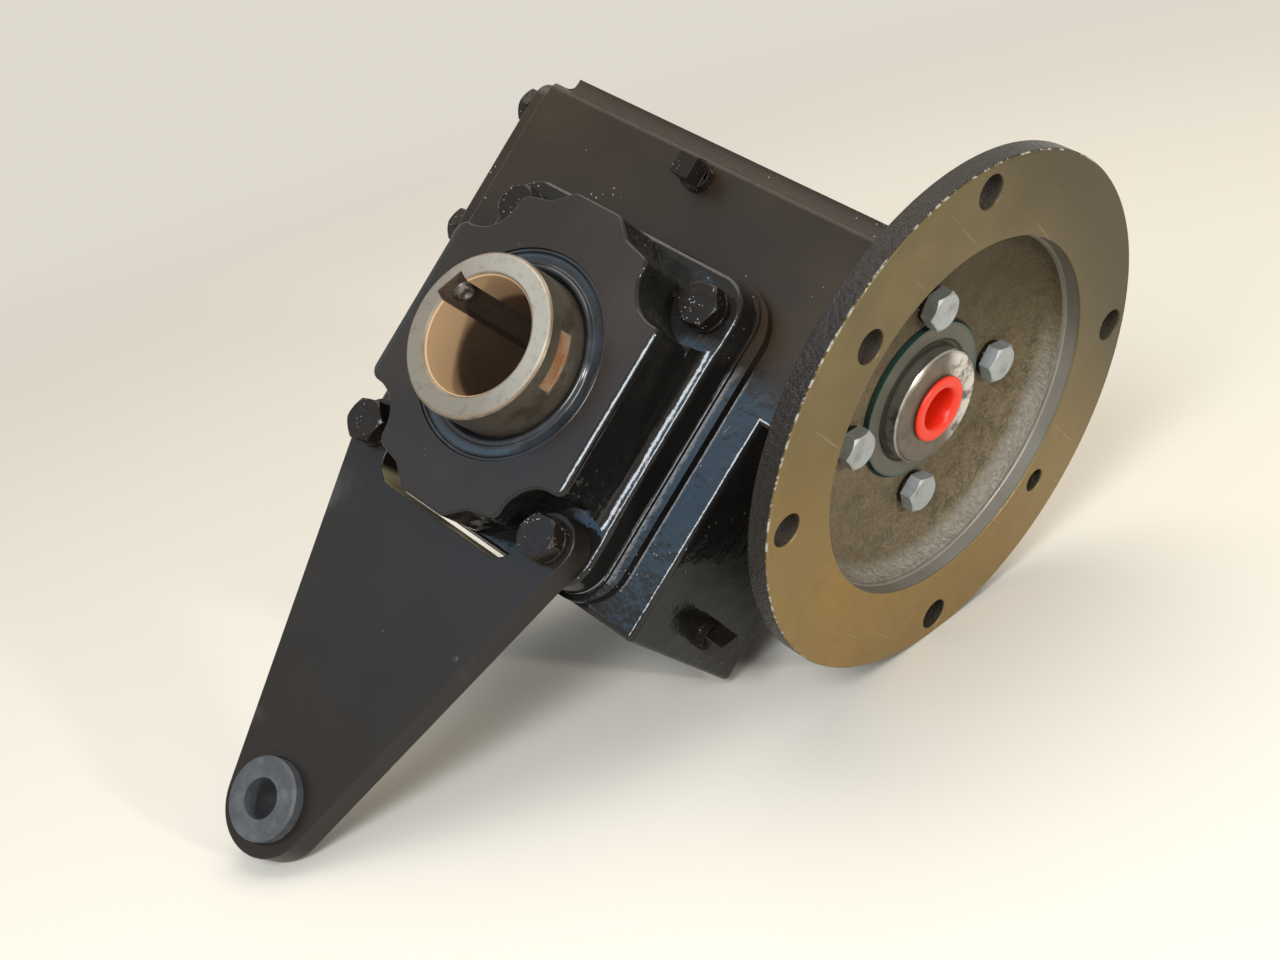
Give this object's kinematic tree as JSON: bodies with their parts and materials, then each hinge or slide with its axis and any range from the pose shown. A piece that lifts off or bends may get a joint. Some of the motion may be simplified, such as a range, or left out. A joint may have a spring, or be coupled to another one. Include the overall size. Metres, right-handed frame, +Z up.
{
  "type": "gear speed reducer",
  "caption": "Right-angle worm gear speed reducer with a round motor flange, a hollow keyed output shaft and a torque arm ending in a rubber bush.",
  "frame": {"origin": "centre of the hollow output shaft's bore, half way between the two output covers", "axes": "+X along the worm shaft, out of the motor flange; +Z up from the output axis to the worm; -Y out of the output side that carries the torque arm"},
  "size_m": [0.1865, 0.165, 0.3032],
  "materials": {
    "housing_paint": "glossy black enamel over cast iron",
    "cover_paint": "glossy black enamel over cast iron",
    "gasket_paper": "grey pressed paper",
    "seal_rubber": "black moulded rubber",
    "bearing_steel": "ground bearing steel",
    "cage_steel": "pressed steel",
    "shaft_steel": "turned steel with light rust",
    "dark_steel": "black oxide steel",
    "gear_bronze": "machined bronze",
    "key_steel": "bright key steel",
    "worm_steel": "ground hardened steel",
    "red_plastic": "glossy red moulded plastic",
    "flange_iron": "bare cast iron with machined faces",
    "input_seal_rubber": "green-grey moulded rubber",
    "painted_bolts": "black enamel over steel",
    "plain_bolts": "bright zinc plated steel",
    "arm_paint": "satin black paint over plate steel",
    "bush_rubber": "grey moulded rubber"
  },
  "bodies": {
    "reducer_case": {"housing": "housing_paint", "front_output_cover": "cover_paint", "rear_output_cover": "cover_paint", "front_cover_gasket": "gasket_paper", "rear_cover_gasket": "gasket_paper", "front_output_seal": "seal_rubber", "rear_output_seal": "seal_rubber", "front_bearing_cup": "bearing_steel", "rear_bearing_cup": "bearing_steel", "cover_bolts": "painted_bolts", "torque_arm_bolts": "painted_bolts", "lock_washers": "painted_bolts", "torque_arm": "arm_paint", "arm_bush": "bush_rubber", "pipe_plugs": "painted_bolts", "worm_end_cover": "housing_paint", "worm_end_cover_gasket": "gasket_paper", "end_cover_bolts": "painted_bolts", "motor_flange": "flange_iron", "motor_flange_gasket": "gasket_paper", "motor_flange_bolts": "plain_bolts", "input_seal": "input_seal_rubber", "end_bearing_outer_race": "bearing_steel", "input_bearing_outer_race": "bearing_steel"},
    "output_group": {"output_shaft": "shaft_steel", "bore_set_screws": "dark_steel", "worm_gear": "gear_bronze", "gear_key": "key_steel", "front_gear_sleeve": "shaft_steel", "rear_gear_sleeve": "shaft_steel", "front_bearing_cone": "bearing_steel", "rear_bearing_cone": "bearing_steel"},
    "worm_group": {"worm_shaft": "worm_steel", "bore_plug": "red_plastic", "end_bearing_inner_race": "bearing_steel", "input_bearing_inner_race": "bearing_steel"},
    "front_roller_set": {"front_bearing_rollers": "bearing_steel", "front_bearing_cage": "cage_steel"},
    "rear_roller_set": {"rear_bearing_rollers": "bearing_steel", "rear_bearing_cage": "cage_steel"},
    "end_ball_set": {"end_bearing_balls": "bearing_steel", "end_bearing_cage": "cage_steel"},
    "input_ball_set": {"input_bearing_balls": "bearing_steel", "input_bearing_cage": "cage_steel"}
  },
  "joints": [
    {"name": "output_spin", "type": "hinge", "parent": "reducer_case", "child": "output_group", "pos_m": [0, 0, 0], "axis": [0, 1, 0], "continuous": true},
    {"name": "worm_spin", "type": "hinge", "parent": "reducer_case", "child": "worm_group", "pos_m": [0, 0, 0.0508], "axis": [1, 0, 0], "continuous": true},
    {"name": "front_roller_orbit", "type": "hinge", "parent": "reducer_case", "child": "front_roller_set", "pos_m": [0, -0.0375, 0], "axis": [0, 1, 0], "continuous": true},
    {"name": "rear_roller_orbit", "type": "hinge", "parent": "reducer_case", "child": "rear_roller_set", "pos_m": [0, 0.0375, 0], "axis": [0, 1, 0], "continuous": true},
    {"name": "end_ball_orbit", "type": "hinge", "parent": "reducer_case", "child": "end_ball_set", "pos_m": [-0.0628, 0, 0.0508], "axis": [1, 0, 0], "continuous": true},
    {"name": "input_ball_orbit", "type": "hinge", "parent": "reducer_case", "child": "input_ball_set", "pos_m": [0.071, 0, 0.0508], "axis": [1, 0, 0], "continuous": true}
  ],
  "couplings": [
    {"joint": "worm_spin", "follows": "output_spin", "ratio": -20},
    {"joint": "front_roller_orbit", "follows": "output_spin", "ratio": 0.4569},
    {"joint": "rear_roller_orbit", "follows": "output_spin", "ratio": 0.4569},
    {"joint": "end_ball_orbit", "follows": "output_spin", "ratio": -7.6306},
    {"joint": "input_ball_orbit", "follows": "output_spin", "ratio": -8.9052}
  ]
}
